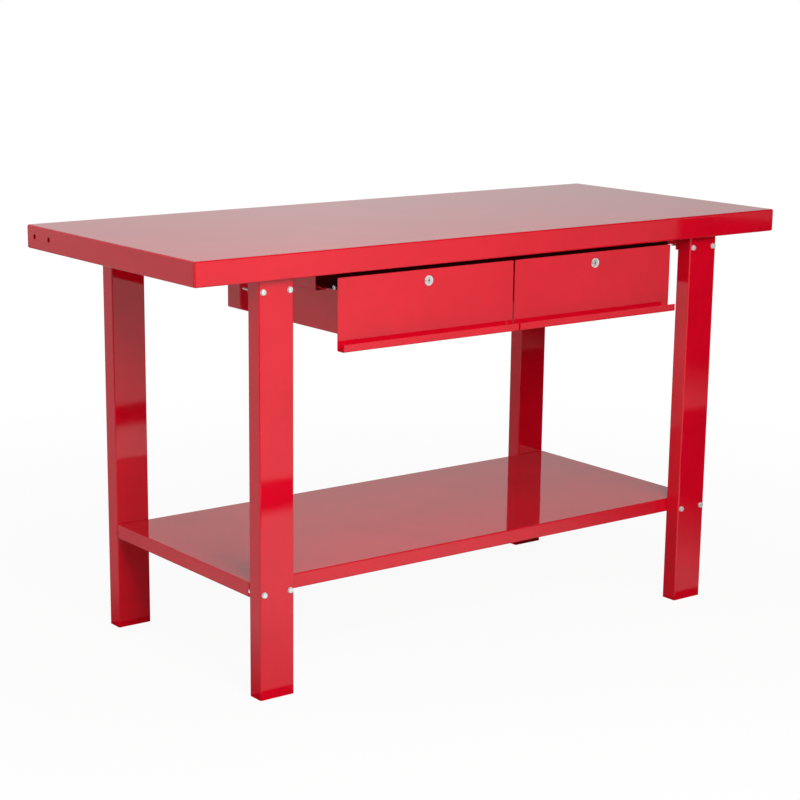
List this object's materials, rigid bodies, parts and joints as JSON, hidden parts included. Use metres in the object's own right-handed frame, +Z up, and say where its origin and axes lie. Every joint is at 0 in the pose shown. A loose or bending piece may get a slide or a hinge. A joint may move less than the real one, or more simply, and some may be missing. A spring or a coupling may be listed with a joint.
{
  "type": "workbench",
  "caption": "Painted steel workbench with a folded worktop, a lower shelf on channel legs and hanging drawers with cam locks.",
  "frame": {"origin": "floor level under the middle of the bench, drawer pulls included", "axes": "+Z up, the drawer fronts face -Y, +X along the worktop to the right as seen from the front"},
  "size_m": [1.5, 0.666, 0.87],
  "materials": {
    "red_paint": "gloss",
    "dark_primer": "matt",
    "zinc": "satin",
    "lock_chrome": "polished",
    "black_plastic": "matt"
  },
  "bodies": {
    "bench": {"worktop": "red_paint", "top_stiffener_front": "red_paint", "top_stiffener_rear": "red_paint", "keeper_bar": "dark_primer", "shelf": "red_paint", "shelf_stiffener": "red_paint", "leg_front_left": "red_paint", "leg_rear_left": "red_paint", "bracket_front_left": "red_paint", "bracket_rear_left": "red_paint", "leg_front_right": "red_paint", "leg_rear_right": "red_paint", "bracket_front_right": "red_paint", "bracket_rear_right": "red_paint", "top_bolts": "zinc", "top_nuts": "zinc", "shelf_bolts": "zinc", "shelf_nuts": "zinc", "rail_screws": "zinc", "rail_nuts": "zinc", "rail_glides": "black_plastic", "rail_left_outer": "red_paint", "rail_left_inner": "red_paint", "rail_right_inner": "red_paint", "rail_right_outer": "red_paint"},
    "left_drawer": {"left_drawer_front": "red_paint", "left_drawer_body": "red_paint", "left_corner_brackets": "dark_primer", "left_corner_bolts": "zinc", "left_corner_nuts": "zinc", "left_drawer_glides": "black_plastic", "left_lock_barrel": "lock_chrome", "left_lock_nut": "lock_chrome"},
    "right_drawer": {"right_drawer_front": "red_paint", "right_drawer_body": "red_paint", "right_corner_brackets": "dark_primer", "right_corner_bolts": "zinc", "right_corner_nuts": "zinc", "right_drawer_glides": "black_plastic", "right_lock_barrel": "lock_chrome", "right_lock_nut": "lock_chrome"},
    "left_lock": {"left_lock_plug": "lock_chrome", "left_lock_cam": "lock_chrome", "left_lock_screw": "lock_chrome"},
    "right_lock": {"right_lock_plug": "lock_chrome", "right_lock_cam": "lock_chrome", "right_lock_screw": "lock_chrome"}
  },
  "joints": [
    {"name": "left_drawer_slide", "type": "slide", "parent": "bench", "child": "left_drawer", "axis": [0, -1, 0], "range_m": [0, 0.285]},
    {"name": "right_drawer_slide", "type": "slide", "parent": "bench", "child": "right_drawer", "axis": [0, -1, 0], "range_m": [0, 0.285]},
    {"name": "left_lock_turn", "type": "hinge", "parent": "left_drawer", "child": "left_lock", "pos_m": [-0.2185, -0.312, 0.7925], "axis": [0, 1, 0], "range_deg": [0, 90]},
    {"name": "right_lock_turn", "type": "hinge", "parent": "right_drawer", "child": "right_lock", "pos_m": [0.2185, -0.312, 0.7925], "axis": [0, 1, 0], "range_deg": [0, 90]}
  ]
}
